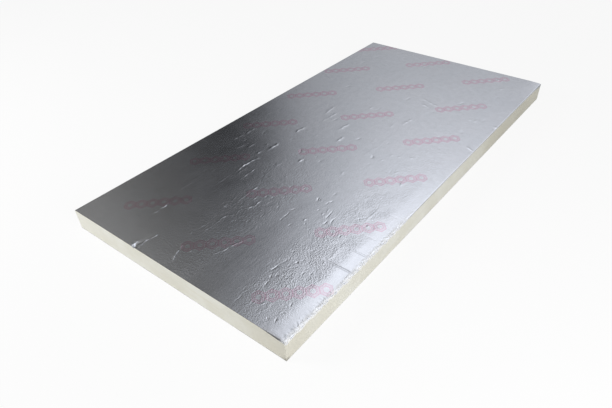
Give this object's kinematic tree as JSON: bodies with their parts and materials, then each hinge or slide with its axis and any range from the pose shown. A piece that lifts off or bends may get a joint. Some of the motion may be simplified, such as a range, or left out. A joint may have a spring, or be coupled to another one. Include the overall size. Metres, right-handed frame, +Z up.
{
  "type": "foil-faced insulation board",
  "caption": "Rigid foam insulation board with a foil facing on each broad side, lying flat; the top foil turns down over the long edges, crushed and ragged along one of them.",
  "frame": {"origin": "centre of the underside", "axes": "+X along the board's length, +Y across its width towards the sound long edge, +Z up out of the top facing"},
  "size_m": [2.4, 1.2, 0.1],
  "materials": {
    "foam": "matte, fine closed-cell foam, cream",
    "foil": "satin embossed foil with a pink outline print"
  },
  "bodies": {
    "root": {"foam_core": "foam", "top_foil_facing": "foil", "bottom_foil_facing": "foil"}
  },
  "joints": []
}
